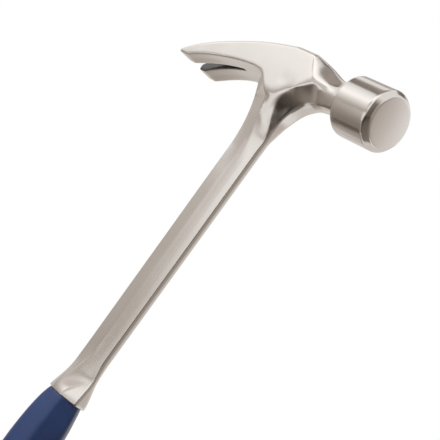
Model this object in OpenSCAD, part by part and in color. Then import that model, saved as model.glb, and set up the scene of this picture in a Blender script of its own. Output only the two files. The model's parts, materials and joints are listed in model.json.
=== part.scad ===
// Framing hammer: one steel forging from claw tips to tang, with a moulded grip bonded over the tang.
// Millimetres. Z runs up the handle from the flat butt, +X points at the striking face, Y is the thickness.

/* [Main sizes] */
// Height of the poll's axis above the butt
axis_height = 390; // [370:1:420]
// Bare steel from the poll's axis down to the grip
bare_length = 200.5; // [180:0.5:220]
// Width over the flat cheeks
cheek_width = 25; // [22:0.5:28]

/* [Poll] */
// Diameter of the striking poll
poll_diameter = 32; // [28:0.5:36]
// Handle axis to the rim of the striking face
face_reach = 70.6; // [64:0.2:78]
// Length of the round poll, with its chamfer
poll_length = 26; // [22:0.5:30]
// Chamfer round the face, taken off the radius
face_chamfer = 2.4; // [1.5:0.1:3.5]
// Chamfer round the face, along the poll
face_chamfer_length = 3; // [2:0.1:4]
// Height of the crown on the striking face
face_crown = 0.7; // [0.3:0.1:1.2]
// Chamfer round the back of the poll
poll_back_chamfer = 0.6; // [0.3:0.1:1]

/* [Neck and cheeks] */
// Width of the eight-sided neck at its waist
neck_width = 19; // [17:0.5:22]
// Handle axis to the waist of the neck
neck_reach = 33; // [30:0.5:36]
// Underside of the neck below the poll's axis
neck_under = 8.6; // [7.5:0.1:10]
// Top of the neck above the poll's axis, at its waist
neck_top = 9; // [8:0.1:11]
// Flat on the neck's underside, across
neck_flat = 8.6; // [7:0.2:10]
// Upper edge of the cheeks above the poll's axis
cheek_top = 12.4; // [11:0.2:14]
// Handle axis to the front point of the cheek flat
cheek_reach = 24; // [21:0.5:27]
// Rise of the crown along the top of the head
top_crown = 1.8; // [1:0.1:2.6]

/* [Claw] */
// Handle axis to the claw tips
claw_reach = 73; // [66:0.5:80]
// Width over the claw tips
claw_spread = 30; // [27:0.5:33]
// Straight part of the fall of the claw's back
claw_lean = 12; // [10:0.5:14]
// Further fall of the claw's back as it curves
claw_hook = 16; // [13:0.5:18]
// Depth of the claw at its root
claw_root_depth = 14.7; // [12:0.1:16]
// Depth of the claw at the tips, before they are ground flat
claw_tip_depth = 4.6; // [4:0.2:6]
// Hollow across the underside of the claw
claw_hollow = 0.5; // [0.2:0.1:2]
// Ground flat under the tips, below the poll's axis
tip_floor = 17.1; // [16:0.1:19]
// Width of the nail slot at the tips
slot_width = 8.4; // [7:0.2:10]
// Handle axis to the bottom of the nail slot
slot_reach = 35.5; // [32:0.5:40]
// Lean of each slot wall over the claw's depth, closing towards its back
slot_bevel = 1.2; // [0.6:0.1:2]
// Half width of the rounded bottom of the slot
slot_point = 0.6; // [0.4:0.1:1]

/* [Shank] */
// Handle axis to the front edge of the shank
shank_front = 10.1; // [9:0.1:12]
// Handle axis to the rear edge of the shank, below the head
shank_rear = 9.6; // [8:0.1:11]
// Taper of the rear edge down to the flare
shank_taper = 1; // [0:0.1:2]
// Handle axis to where the front edge runs into the neck
neck_foot = 30; // [27:0.5:32]
// Rear of the shank's run into the claw, beyond the shank
rear_root = 9.8; // [8:0.2:12]
// Underside of the claw's root below the poll's axis
claw_sill = 9; // [8:0.2:10]
// Top of the side ridge below the poll's axis
ridge_turn = 16; // [14:0.5:18]
// Rearmost point of the scoop's border
scoop_back = 4.8; // [4:0.2:6]
// Thickness over the ridges of the shank
shank_thickness = 10.8; // [9:0.2:13]
// Flat along the front edge, across
edge_flat = 3; // [2:0.2:4]
// Flat along the rear edge, across
rear_flat = 4; // [3:0.2:5]
// Length over which the shank runs into the head, below the poll's axis
root_length = 46; // [42:0.5:50]
// Hollow of the scoop between cheek and front edge
scoop_depth = 2.2; // [1:0.1:3]
// Length of the flare above the grip
collar_length = 29; // [24:0.5:34]
// Front of the flare beyond the shank, at the grip
collar_front = 2.6; // [2:0.1:4]
// Rear of the flare beyond the shank, at the grip
collar_rear = 2.9; // [2:0.1:4]
// Thickness of the flare at the grip
collar_thickness = 16.6; // [15:0.2:19]

/* [Tang] */
// Depth of the tang hidden in the grip
tang_depth = 18; // [16:0.5:20]
// Thickness of the tang
tang_thickness = 8; // [6:0.2:10]
// Solid grip left below the tang
tang_cover = 14; // [8:0.5:20]
// Corner chamfer of the tang
tang_chamfer = 1.6; // [1:0.1:2.4]
// Bond line between tang and grip
bond_gap = 0.1; // [0.05:0.05:0.2]

/* [Grip] */
// Angle of the bevels between the grip's flats
bevel_angle = 40; // [30:1:50]
// Depth of the grip at its waist
grip_waist_depth = 31; // [28:0.5:34]
// Thickness of the grip at its waist
grip_waist_thickness = 24; // [22:0.5:27]
// Depth of the swell below the flare
grip_swell_depth = 34; // [32:0.5:37]
// Depth of the grip over the butt
butt_depth = 43; // [38:0.5:48]
// Thickness of the grip over the butt
butt_thickness = 28; // [26:0.5:32]
// Lip of the grip over the steel at the joint
grip_lip = 0.3; // [0.2:0.1:1]
// Round along the edge of the butt
butt_round = 4; // [3:0.5:6]
// Grooves across the grip
groove_count = 11; // [6:1:14]
// Pitch of the grooves
groove_pitch = 8; // [6:0.5:9]
// Depth of the grooves
groove_depth = 0.9; // [0.5:0.1:1.3]
// Lowest groove above the butt
groove_start = 34; // [30:1:40]

/* [Hidden] */

steel_colour = [0.72, 0.70, 0.68];
grip_colour = [0.10, 0.16, 0.33];

// Longest step between rings, and the depth by which one form runs into the next
ring_step = 3;
overrun = 1;

poll_radius = poll_diameter / 2;
face_rim_radius = poll_radius - face_chamfer;
crown_radius = (pow(face_rim_radius, 2) + pow(face_crown, 2)) / (2 * face_crown);
crown_rings = 5;
poll_back = face_reach - poll_length;
cheek_half = cheek_width / 2;
claw_half = claw_spread / 2;
neck_half = neck_width / 2;
neck_flat_half = neck_flat / 2;
shank_half = shank_thickness / 2;
edge_half = edge_flat / 2;
rear_half = rear_flat / 2;
collar_half = collar_thickness / 2;
grip_top = axis_height - bare_length;

function clamp(t) = max(0, min(1, t));
function ease(t) = let(u = clamp(t)) u * u * (3 - 2 * u);
function mix(a, b, t) = a + (b - a) * t;

// Row of a table at place t, on a smooth curve through its rows; each row starts with its place
function row_before(table, t, i = 0) = i >= len(table) - 2 || t <= table[i + 1][0] ? i : row_before(table, t, i + 1);
function row_slope(table, i) =
    let(a = table[max(0, i - 1)], b = table[min(len(table) - 1, i + 1)])
        (b - a) / (b[0] - a[0]);
function row_at(table, t) =
    let(
        i = row_before(table, t),
        a = table[i],
        b = table[i + 1],
        gap = b[0] - a[0],
        u = clamp((t - a[0]) / gap),
        rise = u * u * (3 - 2 * u)
    )
    a * (1 - rise) + b * rise + row_slope(table, i) * gap * u * pow(1 - u, 2)
        - row_slope(table, i + 1) * gap * u * u * (1 - u);

// Places from a to b, no further apart than the given step
function places(a, b, step) = let(n = ceil(abs(b - a) / step)) [for (i = [0:n]) mix(a, b, i / n)];

// Closed ring from its +Y half, whose points are [x, y, z]
function mirrored(half) =
    concat(half, [for (i = [len(half) - 1:-1:0]) [half[i][0], -half[i][1], half[i][2]]]);

// Solid through rings with equal numbers of points, symmetric about Y = 0; turned says that the rings
// run clockwise when seen along their own direction
module loft(rings, turned = false) {
    n = len(rings[0]);
    last = (len(rings) - 1) * n;
    sides = [
        for (i = [0:len(rings) - 2], j = [0:n - 1])
            let(a = i * n + j, b = i * n + (j + 1) % n, c = a + n, d = b + n)
                each (j < n / 2 ? [[a, b, d], [a, d, c]] : [[a, b, c], [b, d, c]])
    ];
    start = [for (j = [n - 1:-1:0]) j];
    end = [for (j = [0:n - 1]) last + j];
    faces = concat([start], sides, [end]);
    polyhedron(
        points = [for (r = rings) each r],
        faces = turned ? [for (f = faces) [for (k = [len(f) - 1:-1:0]) f[k]]] : faces,
        convexity = 8
    );
}

// Head: claw, cheeks and neck as one loft along X, about the poll's axis

// Where the cheek's top edge turns down to the cheek's front point
cheek_front = cheek_reach - cheek_top * 0.8;
// Where the claw's underside leaves the handle
claw_root = claw_reach * 0.27;
// Rise at which the cheek's lower edge meets the shank
cheek_sill = neck_under * 0.95;

function claw_run(x) = max(0, -x) / claw_reach;
function claw_side(x) = mix(cheek_half, claw_half, ease((claw_run(x) - 0.5) / 0.42));
function claw_back(x) = cheek_top - claw_lean * claw_run(x) - claw_hook * pow(claw_run(x), 2.6);
function claw_depth(x) = mix(claw_root_depth, claw_tip_depth, clamp((-x - claw_root) / (claw_reach - claw_root)));
function claw_under(x) = claw_back(x) - claw_depth(x);

// Half section of the claw: crown, upper edge, lower edge and hollow underside
function claw_ring(x) =
    let(
        side = claw_side(x),
        back = claw_back(x),
        root = claw_under(-claw_root),
        sill = clamp((x + claw_root) / (cheek_front + claw_root)),
        under = x < -claw_root ? claw_under(x) : mix(root, -cheek_sill, sill),
        hollow = claw_hollow * (1 - sill)
    )
    mirrored([
        [x, side * 0.4, max(-tip_floor + overrun / 2, back + top_crown)],
        [x, side * 0.82, max(-tip_floor + overrun / 2, back + top_crown * 0.75)],
        [x, side, back],
        [x, side, max(-tip_floor, under)],
        [x, side * 0.6, max(-tip_floor, under + hollow * 0.8)],
        [x, neck_flat_half * 0.8, max(-tip_floor, under + hollow)]
    ]);

// Half section at the cheek's front, at the neck's waist and at the back of the poll:
// crown half, crown, brow half, brow, side half, upper edge, lower edge, underside
cheek_section = [
    cheek_half * 0.82, cheek_top + top_crown * 0.75, cheek_half * 0.98, cheek_top,
    cheek_half, cheek_top * 0.98, -cheek_sill, -neck_under
];
waist_section = [
    neck_flat_half, neck_top, neck_half * 0.97, neck_top * 0.27,
    neck_half, 0, -neck_under * 0.27, -neck_under
];
back_section = poll_radius * [0.34, 0.82, 0.81, 0.22, 0.84, 0, -0.25, -0.81];

// Run from cheek to waist: place, then how far each of the eight sizes has gone from the cheek's to the waist's
neck_shares = [
    [0.00, 0.00, 0.00, 0.00, 0.00, 0.00, 0.00, 0.00, 0.00],
    [0.32, 0.51, 0.21, 0.63, 0.43, 0.03, 0.63, 0.78, 0.00],
    [0.53, 0.75, 0.45, 0.87, 0.66, 0.12, 0.93, 1.20, 0.00],
    [0.74, 0.92, 0.74, 0.97, 0.87, 0.66, 0.97, 1.13, 0.50],
    [1.00, 1.00, 1.00, 1.00, 1.00, 1.00, 1.00, 1.00, 1.00]
];
// Flare from waist to poll: place, then how far it has gone
flare_shares = [[0.0, 0.0], [0.4, 0.05], [0.75, 0.38], [1.0, 1.0]];

function neck_sizes(x) =
    let(
        row = row_at(neck_shares, clamp((x - cheek_front) / (neck_reach - cheek_front))),
        flare = row_at(flare_shares, clamp((x - neck_reach) / (poll_back - neck_reach)))[1]
    )
    [for (k = [0:7]) mix(mix(cheek_section[k], waist_section[k], row[k + 1]), back_section[k], flare)];

function neck_ring(x) =
    let(s = neck_sizes(x))
    mirrored([
        [x, s[0], s[1]],
        [x, s[2], s[3]],
        [x, s[4], s[5]],
        [x, s[4], s[6]],
        [x, mix(s[4], neck_flat_half, 0.5), mix(s[6], s[7], 0.5)],
        [x, mix(neck_flat_half, s[0], x > neck_reach ? 0.5 : 0), s[7]]
    ]);

module head_loft() {
    loft(concat(
        [for (x = places(-claw_reach, cheek_front, ring_step)) claw_ring(x)],
        [for (x = places(cheek_front + overrun / 2, poll_back + overrun, ring_step * 0.6)) neck_ring(x)]
    ));
}

// Poll: turned about X, with a crown of a few rings on its face
module poll() {
    rim_angle = asin(face_rim_radius / crown_radius);
    crown_top = face_reach + face_crown;
    crown = [
        for (k = [crown_rings:-1:0])
            let(angle = rim_angle * k / crown_rings)
                [crown_radius * sin(angle), crown_top - crown_radius * (1 - cos(angle))]
    ];
    rotate([0, 90, 0])
        rotate_extrude($fn = 96)
            polygon(concat([
                [0, poll_back],
                [poll_radius - poll_back_chamfer, poll_back],
                [poll_radius, poll_back + poll_back_chamfer],
                [poll_radius, face_reach - face_chamfer_length]
            ], crown));
}

// Nail slot: a V from tips to apex, its walls leaning together towards the claw's back
module slot_cut() {
    low = -tip_floor - overrun;
    high = cheek_top + overrun;
    lean = slot_bevel / claw_root_depth;
    loft([
        for (z = [low, high])
            let(close = (z + tip_floor) * lean, open = slot_width / 2 - close)
                mirrored([
                    [-claw_reach - overrun, max(slot_point, open), z],
                    [-slot_reach - close, slot_point, z]
                ])
    ]);
}

// Shank: loft down Z from inside the head to the grip

// Front edge line of the shank's run into the neck, as a share of the run
function root_run(z) = clamp((z + root_length) / (root_length - neck_under));
function collar_run(z) = ease((-z - bare_length + collar_length) / collar_length);
// Flare near the grip only, where the front flat and the bevels open
function collar_end(z) = ease((-z - bare_length + collar_length * 0.55) / (collar_length * 0.55));

function front_line(z) =
    neck_foot - (neck_foot - shank_front) * sqrt(1 - pow(root_run(z), 3)) + collar_front * collar_run(z);
function front_half(z) =
    mix(mix(edge_half, neck_flat_half * 0.95, pow(root_run(z), 1.2)), collar_half * 0.43, collar_end(z));
function rear_line(z) =
    -shank_rear + shank_taper * clamp((-z - root_length) / (bare_length - root_length - collar_length))
        - rear_root * pow(clamp((z + root_length + overrun) / (root_length - claw_sill)), 2.2)
        - collar_rear * pow(clamp((-z - bare_length + collar_length * 0.7) / (collar_length * 0.7)), 2.2);
function rear_flat_half(z) = mix(mix(rear_half, rear_half * 1.6, root_run(z)), collar_half * 0.45, collar_end(z));

// Ridge along the side, which meets the cheek flat at the head and the side flat at the grip
function ridge_place(z) =
    z > -ridge_turn ? -(z + ridge_turn) * 1.1 - shank_front * 0.1
    : mix(shank_front * 0.25, -shank_front * 0.1, pow(root_run(z), 1.5)) - collar_half * 0.8 * collar_run(z);
function ridge_half(z) =
    mix(mix(shank_half, cheek_half, pow(clamp((z + root_length * 1.3) / (root_length * 1.3 - neck_under * 1.4)), 2)),
        collar_half, collar_run(z));

// Front border of the side: forward along the cheek, back round the scoop, then down the front edge
function brow_place(z) =
    z > -ridge_turn * 1.08 ? scoop_back + (z + ridge_turn * 1.08) * 1.1
    : mix(mix(scoop_back, shank_front - edge_half * 0.4, ease((-z - ridge_turn * 1.08) / (root_length * 0.36))),
          collar_half * 0.53, collar_end(z));
function brow_half(z) =
    mix(mix(edge_half * 1.55, cheek_half, ease((z + root_length * 0.83) / (root_length * 0.57))),
        collar_half, collar_end(z));
function scoop(z) = scoop_depth * ease((z + root_length * 0.7) / (root_length * 0.3));

function shank_ring(z) =
    let(
        ridge = ridge_place(z),
        brow = brow_place(z),
        brow_y = brow_half(z),
        ridge_y = z > -ridge_turn ? max(ridge_half(z), brow_y) : ridge_half(z),
        front = front_line(z),
        front_y = front_half(z),
        run = [front - brow, front_y - brow_y],
        inward = [run[1], -run[0]] / max(norm(run), overrun),
        dip = scoop(z)
    )
    mirrored([
        for (t = [0:3]) [mix(rear_line(z), ridge, t / 3), mix(rear_flat_half(z), ridge_y, t / 3), z],
        [mix(ridge, brow, 0.5), mix(ridge_y, brow_y, 0.5), z],
        for (t = [0:4])
            let(hollow = dip * 4 * (t / 4) * (1 - t / 4))
                [brow + run[0] * t / 4 + inward[0] * hollow, brow_y + run[1] * t / 4 + inward[1] * hollow, z]
    ]);

module shank_loft() {
    loft(concat(
        [for (z = places(-claw_sill / 2, -root_length * 1.3, ring_step * 0.7)) shank_ring(z)],
        [for (z = places(-root_length * 1.3 - ring_step, -bare_length + collar_length, ring_step * 8)) shank_ring(z)],
        [for (z = places(-bare_length + collar_length - ring_step, -bare_length, ring_step * 0.8)) shank_ring(z)]
    ), turned = true);
}

// Tang: a chamfered bar, the same form for the steel and, with the bond line added, for its pocket
module tang(gap) {
    half = [tang_depth / 2 + gap, tang_thickness / 2 + gap];
    linear_extrude(height = grip_top - tang_cover + gap + overrun)
        polygon([
            for (q = [[1, 1], [-1, 1], [-1, -1], [1, -1]], e = [0, 1])
                let(first = (q[0] * q[1] > 0 ? e == 0 : e == 1))
                    [q[0] * (half[0] - (first ? 0 : tang_chamfer)), q[1] * (half[1] - (first ? tang_chamfer : 0))]
        ]);
}

// Claw, cheeks, neck and shank as one smooth body; a resize to zero keeps every size
module forged_body() {
    resize([0, 0, 0])
        union() {
            difference() {
                head_loft();
                slot_cut();
            }
            shank_loft();
        }
}

module steel_forging() {
    color(steel_colour) {
        translate([0, 0, axis_height]) {
            forged_body();
            poll();
        }
        translate([0, 0, tang_cover])
            tang(0);
    }
}

// Grip: rings whose outline follows flats and bevels that soften from the joint down to the palm

// Place down the grip from its top, then front, rear and side as shares of their sizes' run:
// 0 at the joint, 1 at the swell, 2 at the waist, 3 over the butt
grip_shares = [
    [0.00, 0.00, 0.00, 0.00],
    [0.03, 0.32, 0.52, 0.30],
    [0.08, 0.75, 0.85, 0.70],
    [0.15, 1.00, 1.00, 0.95],
    [0.28, 1.20, 1.10, 1.10],
    [0.50, 2.00, 2.00, 2.00],
    [0.72, 1.50, 1.60, 2.20],
    [0.88, 2.40, 2.30, 2.70],
    [0.96, 3.00, 2.95, 3.00],
    [1.00, 3.00, 3.00, 3.00]
];

// Size between the four named ones: joint, swell, waist and butt
function grip_size(sizes, share) =
    let(i = min(2, floor(share))) mix(sizes[i], sizes[i + 1], share - i);

joint_front = shank_front + collar_front + grip_lip;
joint_rear = shank_rear + collar_rear + grip_lip;
front_sizes = [joint_front, grip_swell_depth / 2, grip_waist_depth / 2, butt_depth * 0.47];
rear_sizes = [joint_rear, grip_swell_depth / 2, grip_waist_depth / 2, butt_depth * 0.53];
side_sizes = [collar_half + grip_lip, grip_waist_thickness / 2, grip_waist_thickness / 2, butt_thickness / 2];
grip_turns = 36;

// Radius at an angle inside flats at given distances, rounded more for a lower power
function flats_radius(angle, flats, power) =
    pow(max([for (f = flats) max(0, cos(angle - f[0])) / f[1]]), -1)
        * pow(
            let(worst = max([for (f = flats) max(0, cos(angle - f[0])) / f[1]]))
                sum([for (f = flats) pow(max(0, cos(angle - f[0])) / f[1] / worst, power)]),
            -1 / power
        );
function sum(values, i = 0) = i >= len(values) ? 0 : values[i] + sum(values, i + 1);

function groove(z) =
    let(
        n = (z - groove_start) / groove_pitch,
        near = abs(n - round(n)) * groove_pitch
    )
    round(n) < 0 || round(n) > groove_count - 1 ? 0 : groove_depth * ease(1 - near / (groove_pitch * 0.28));

function grip_ring(z) =
    let(
        down = clamp((grip_top - z) / grip_top),
        row = row_at(grip_shares, down),
        front = grip_size(front_sizes, row[1]),
        rear = grip_size(rear_sizes, row[2]),
        side = grip_size(side_sizes, row[3]),
        soft = ease(down / 0.3),
        tuck = z >= butt_round ? 0 : butt_round - sqrt(pow(butt_round, 2) - pow(butt_round - z, 2)),
        power = mix(40, 5, soft),
        bevel = mix(0.84, 0.9, soft),
        flats = [
            [0, front], [180, rear], [90, side], [-90, side],
            [bevel_angle, bevel * norm([front * cos(bevel_angle), side * sin(bevel_angle)])],
            [-bevel_angle, bevel * norm([front * cos(bevel_angle), side * sin(bevel_angle)])],
            [180 - bevel_angle, bevel * norm([rear * cos(bevel_angle), side * sin(bevel_angle)])],
            [180 + bevel_angle, bevel * norm([rear * cos(bevel_angle), side * sin(bevel_angle)])]
        ]
    )
    [
        for (k = [0:grip_turns - 1])
            let(a = -k * 360 / grip_turns, r = flats_radius(a, flats, power) - tuck - groove(z))
                [r * cos(a), r * sin(a), z]
    ];

module grip_body() {
    ribbed_top = groove_start + (groove_count - 0.5) * groove_pitch;
    ribbed_foot = groove_start - groove_pitch / 2;
    loft(concat(
        [for (z = places(grip_top, ribbed_top, ring_step)) grip_ring(z)],
        [for (k = [4 * groove_count - 1:-1:0]) grip_ring(ribbed_foot + k * groove_pitch / 4)],
        [for (z = places(ribbed_foot - ring_step, butt_round, ring_step)) grip_ring(z)],
        [for (k = [1:4]) grip_ring(butt_round * (1 - sin(k * 90 / 4)))]
    ), turned = true);
}

module grip() {
    color(grip_colour)
        difference() {
            grip_body();
            translate([0, 0, tang_cover - bond_gap])
                tang(bond_gap);
        }
}

steel_forging();
grip();
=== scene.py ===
"""Framing hammer: satin forged steel and a moulded blue grip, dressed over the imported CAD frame.

The hammer's sizes are in millimetres, measured from the crossing of the poll's axis and the handle's axis,
with X towards the striking face and Z up the handle; make_mesh() turns them into the frame's metres. Heights
on the grip are over its butt. Floor, screens, lamps and camera are placed in the frame's metres.
"""

import json
import math

import bpy
import numpy as np
from mathutils import Matrix, Vector


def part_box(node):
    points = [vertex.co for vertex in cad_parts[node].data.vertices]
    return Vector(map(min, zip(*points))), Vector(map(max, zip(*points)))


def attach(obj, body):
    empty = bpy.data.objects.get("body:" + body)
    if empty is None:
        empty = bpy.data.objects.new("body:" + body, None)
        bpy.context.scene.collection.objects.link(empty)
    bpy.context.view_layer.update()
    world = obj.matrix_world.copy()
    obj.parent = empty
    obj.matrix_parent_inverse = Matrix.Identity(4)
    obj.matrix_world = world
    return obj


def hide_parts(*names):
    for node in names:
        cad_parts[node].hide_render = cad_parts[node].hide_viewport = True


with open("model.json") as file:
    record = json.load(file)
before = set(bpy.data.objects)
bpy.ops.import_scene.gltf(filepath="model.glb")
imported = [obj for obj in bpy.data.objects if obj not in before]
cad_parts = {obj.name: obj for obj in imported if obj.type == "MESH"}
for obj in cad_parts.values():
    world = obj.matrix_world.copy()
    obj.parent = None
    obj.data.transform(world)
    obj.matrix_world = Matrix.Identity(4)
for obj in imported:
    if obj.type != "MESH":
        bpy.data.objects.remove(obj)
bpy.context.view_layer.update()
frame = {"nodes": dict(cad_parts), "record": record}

MM = 0.001

# Sizes read from the frame

mounts = {m["name"]: m for m in frame["record"]["mounts"]}
steel_low, steel_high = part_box("steel_forging")
grip_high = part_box("grip")[1]

AXIS_HEIGHT = mounts["poll"]["pos_m"][2] / MM
POLL_RADIUS = mounts["poll"]["dims"]["r_mm"]
POLL_MIDDLE = mounts["poll"]["pos_m"][0] / MM
POLL_BARREL = mounts["poll"]["dims"]["length_mm"]
CHEEK_HALF = mounts["cheek_left"]["pos_m"][1] / MM
CLAW_REACH = -steel_low.x / MM
FACE_TOP = steel_high.x / MM
BARE_LENGTH = AXIS_HEIGHT - grip_high.z / MM

# Poll

POLL_BACK_CHAMFER = 0.6
POLL_BACK = POLL_MIDDLE - POLL_BARREL / 2 - POLL_BACK_CHAMFER
FACE_CHAMFER = 2.4
FACE_CHAMFER_LENGTH = 3.0
FACE_REACH = POLL_MIDDLE + POLL_BARREL / 2 + FACE_CHAMFER_LENGTH
FACE_ARC_STEPS = 8

# Neck and cheeks

NECK_HALF = 9.5
NECK_REACH = 33.0
NECK_UNDER = 8.6
NECK_TOP = 9.0
NECK_FLAT_HALF = 4.3
# How far the bevel on the neck's lower corner stands out at its middle
NECK_BULGE = 0.6
TOP_CROWN = 1.8
CROWN_FLAT_SHARE = 0.4
CROWN_EDGE_SHARE = 0.82
CROWN_EDGE_RISE = 0.75
CHEEK_TOP = 12.4
CHEEK_REACH = 24.0
CHEEK_SLANT = 0.8
CHEEK_FRONT = CHEEK_REACH - CHEEK_SLANT * CHEEK_TOP
CHEEK_SILL = 0.95 * NECK_UNDER

# Claw and nail slot

CLAW_HALF = 15.0
CLAW_LEAN = 12.0
CLAW_HOOK = 16.0
CLAW_HOOK_POWER = 2.6
CLAW_ROOT_DEPTH = 14.7
CLAW_TIP_DEPTH = 4.6
CLAW_HOLLOW = 0.5
CLAW_HOLLOW_PLACE = 0.6
CLAW_HOLLOW_SHARE = 0.8
CLAW_FLAT_HALF = NECK_FLAT_HALF * 0.8
CLAW_ROOT = 0.27 * CLAW_REACH
SPREAD_START = 0.5
SPREAD_RUN = 0.42
TIP_FLOOR = 17.1
SLOT_HALF = 4.2
SLOT_REACH = 35.5
SLOT_LEAN = 1.2 / CLAW_ROOT_DEPTH
SLOT_POINT = 0.6

# Shank: its front flat, its rear flat, and on each side the ridge and the brow in front of it

ROOT_LENGTH = 46.0
COLLAR_LENGTH = 29.0
COLLAR_END_LENGTH = COLLAR_LENGTH * 0.55
COLLAR_HALF = 8.3
CLAW_SILL = 9.0

SHANK_FRONT = 10.55
NECK_FOOT = 30.0
FRONT_SWEEP = 3
COLLAR_FRONT = 2.6
EDGE_HALF = 1.3
ROOT_FLAT_HALF = NECK_FLAT_HALF * 0.95
FLAT_SWEEP = 1.2
COLLAR_FLAT_HALF = COLLAR_HALF * 0.43

SHANK_REAR = 9.6
SHANK_TAPER = 1.0
REAR_ROOT = 9.8
REAR_ROOT_END = ROOT_LENGTH + 1
REAR_SWEEP = 2.2
COLLAR_REAR = 2.9
COLLAR_REAR_LENGTH = COLLAR_LENGTH * 0.7
REAR_HALF = 2.0
REAR_ROOT_HALF = REAR_HALF * 1.6
COLLAR_REAR_HALF = COLLAR_HALF * 0.45

SHANK_HALF = 5.4
RIDGE_LINE = SHANK_FRONT * 0.25
RIDGE_ROOT = -SHANK_FRONT * 0.1
RIDGE_SWEEP = 1.5
RIDGE_COLLAR = COLLAR_HALF * 0.8
RIDGE_TURN = 16.0
RIDGE_SLOPE = 1.1
SWELL_START = ROOT_LENGTH * 1.3
SWELL_END = NECK_UNDER * 1.4

SCOOP_BACK = 4.8
BROW_TURN = RIDGE_TURN * 1.08
BROW_RUN = ROOT_LENGTH * 0.36
BROW_LINE = SHANK_FRONT - EDGE_HALF * 0.4
BROW_COLLAR = COLLAR_HALF * 0.53
BROW_HALF = EDGE_HALF * 1.55
BROW_SWELL_START = ROOT_LENGTH * 0.83
BROW_SWELL_RUN = ROOT_LENGTH * 0.57
BLOCK_START = ROOT_LENGTH * 0.85
BLOCK_RUN = 3.0

# The side stands out a little between the ridge and the brow, but not near the head or the grip
SIDE_CROWN = 0.2
SIDE_CROWN_PLACE = 0.6
SIDE_CROWN_END = ROOT_LENGTH * 1.2
SIDE_CROWN_FADE = ROOT_LENGTH * 0.4


def clamp(t):
    return np.clip(t, 0.0, 1.0)


def ease(t):
    t = clamp(t)
    return t * t * (3 - 2 * t)


def mix(a, b, t):
    return a + (b - a) * t


def stretch(t, start, rise, end, fall):
    """0 outside a stretch and 1 inside it, with a soft rise from its start and a soft fall to its end."""
    return ease((t - start) / rise) * ease((end - t) / fall)


def curve_through(table, t):
    """Smooth curve through rows [place, values...], at the places t; one row of values for each place."""
    table = np.array(table, float)
    place = table[:, 0]
    slope = np.empty_like(table)
    for i in range(len(table)):
        a, b = max(0, i - 1), min(len(table) - 1, i + 1)
        slope[i] = (table[b] - table[a]) / (place[b] - place[a])
    i = np.clip(np.searchsorted(place, t) - 1, 0, len(table) - 2)
    gap = (place[i + 1] - place[i])[:, None]
    u = clamp((np.asarray(t)[:, None] - place[i][:, None]) / gap)
    rise = u * u * (3 - 2 * u)
    rows = table[i] * (1 - rise) + table[i + 1] * rise
    rows = rows + slope[i] * gap * u * (1 - u) ** 2 - slope[i + 1] * gap * u * u * (1 - u)
    return rows[:, 1:]


def outlines(half):
    """Half outlines, one for each place, from a list of points whose coordinates run over the places."""
    return np.array(half).transpose(2, 0, 1)


# Head sections, whose half outlines of Y, Z run from the crown down one side to the underside. A neck section
# holds the half width and height of its top flat, of its shoulder and of its side's upper end, then the
# height of the side's lower end and of the underside
CHEEK_SECTION = np.array([
    CHEEK_HALF * CROWN_EDGE_SHARE, CHEEK_TOP + TOP_CROWN * CROWN_EDGE_RISE, CHEEK_HALF * 0.98, CHEEK_TOP,
    CHEEK_HALF, CHEEK_TOP * 0.98, -CHEEK_SILL, -NECK_UNDER,
])
WAIST_SECTION = np.array([
    NECK_FLAT_HALF, NECK_TOP, NECK_HALF * 0.97, NECK_TOP * 0.27,
    NECK_HALF, 0.0, -NECK_UNDER * 0.27, -NECK_UNDER,
])
BACK_SECTION = POLL_RADIUS * np.array([0.34, 0.82, 0.81, 0.22, 0.84, 0.0, -0.25, -0.81])
# Place along the neck, then how far each value of a section has gone from the cheek's to the waist's
NECK_SHARES = [
    [0.00, 0.00, 0.00, 0.00, 0.00, 0.00, 0.00, 0.00, 0.00],
    [0.32, 0.51, 0.21, 0.63, 0.43, 0.03, 0.63, 0.78, 0.00],
    [0.53, 0.75, 0.45, 0.87, 0.66, 0.12, 0.93, 1.20, 0.00],
    [0.74, 0.92, 0.74, 0.97, 0.87, 0.66, 0.97, 1.13, 0.50],
    [1.00, 1.00, 1.00, 1.00, 1.00, 1.00, 1.00, 1.00, 1.00],
]
# Place along the flare between the waist and the poll, then how far its section has gone to the poll's
FLARE_SHARES = [[0.0, 0.0], [0.4, 0.05], [0.75, 0.38], [1.0, 1.0]]


def claw_back(x):
    run = np.maximum(0, -x) / CLAW_REACH
    return CHEEK_TOP - CLAW_LEAN * run - CLAW_HOOK * run ** CLAW_HOOK_POWER


def claw_under(x):
    depth = mix(CLAW_ROOT_DEPTH, CLAW_TIP_DEPTH, clamp((-x - CLAW_ROOT) / (CLAW_REACH - CLAW_ROOT)))
    return claw_back(x) - depth


def claw_side(x):
    """Half width of the cheeks and the claw."""
    run = np.maximum(0, -x) / CLAW_REACH
    return mix(CHEEK_HALF, CLAW_HALF, ease((run - SPREAD_START) / SPREAD_RUN))


def claw_sections(x):
    side, back = claw_side(x), claw_back(x)
    root = claw_under(np.array(-CLAW_ROOT))
    sill = clamp((x + CLAW_ROOT) / (CHEEK_FRONT + CLAW_ROOT))
    under = np.where(x < -CLAW_ROOT, claw_under(x), mix(root, -CHEEK_SILL, sill))
    hollow = CLAW_HOLLOW * (1 - sill)
    return outlines([
        (side * CROWN_FLAT_SHARE, back + TOP_CROWN),
        (side * CROWN_EDGE_SHARE, back + TOP_CROWN * CROWN_EDGE_RISE),
        (side, back), (side, under),
        (side * CLAW_HOLLOW_PLACE, under + hollow * CLAW_HOLLOW_SHARE),
        (np.full_like(side, CLAW_FLAT_HALF), under + hollow),
    ])


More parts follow.
